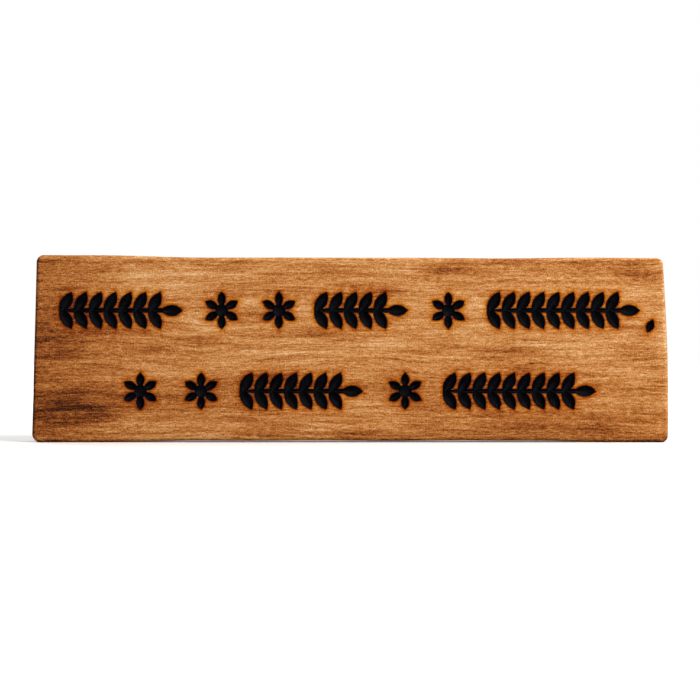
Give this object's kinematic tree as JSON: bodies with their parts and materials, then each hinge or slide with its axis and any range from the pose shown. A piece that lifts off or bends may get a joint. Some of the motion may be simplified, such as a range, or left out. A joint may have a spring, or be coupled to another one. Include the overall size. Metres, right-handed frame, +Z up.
{
  "type": "wooden plaque",
  "caption": "Long stained wooden board with eased edges, black painted leaf and flower carving on its front, and a sawtooth hanger and bumper pads on its back.",
  "frame": {"origin": "centre of the flat bottom edge, which the plaque can stand on", "axes": "+X along the board to the viewer's right, +Y from the front face to the back, +Z up"},
  "size_m": [0.3998, 0.0237, 0.116],
  "materials": {
    "stained_wood": "satin oil stain",
    "black_enamel": "brushed-on black enamel paint, satin",
    "zinc_plated_steel": "zinc plated pressing",
    "bright_nail_steel": "drawn wire, bright",
    "black_rubber": "matt moulded"
  },
  "bodies": {
    "root": {"plaque_board": "stained_wood", "enamel_sprig_upper_left": "black_enamel", "enamel_sprig_upper_middle": "black_enamel", "enamel_sprig_upper_right": "black_enamel", "enamel_sprig_lower_left": "black_enamel", "enamel_sprig_lower_right": "black_enamel", "enamel_rosette_upper_left": "black_enamel", "enamel_rosette_upper_middle": "black_enamel", "enamel_rosette_upper_right": "black_enamel", "enamel_rosette_lower_left": "black_enamel", "enamel_rosette_lower_middle": "black_enamel", "enamel_rosette_lower_right": "black_enamel", "enamel_bud_upper_right": "black_enamel", "sawtooth_hanger": "zinc_plated_steel", "hanger_nail_left": "bright_nail_steel", "hanger_nail_right": "bright_nail_steel", "bumper_pad_left": "black_rubber", "bumper_pad_right": "black_rubber"}
  },
  "joints": []
}
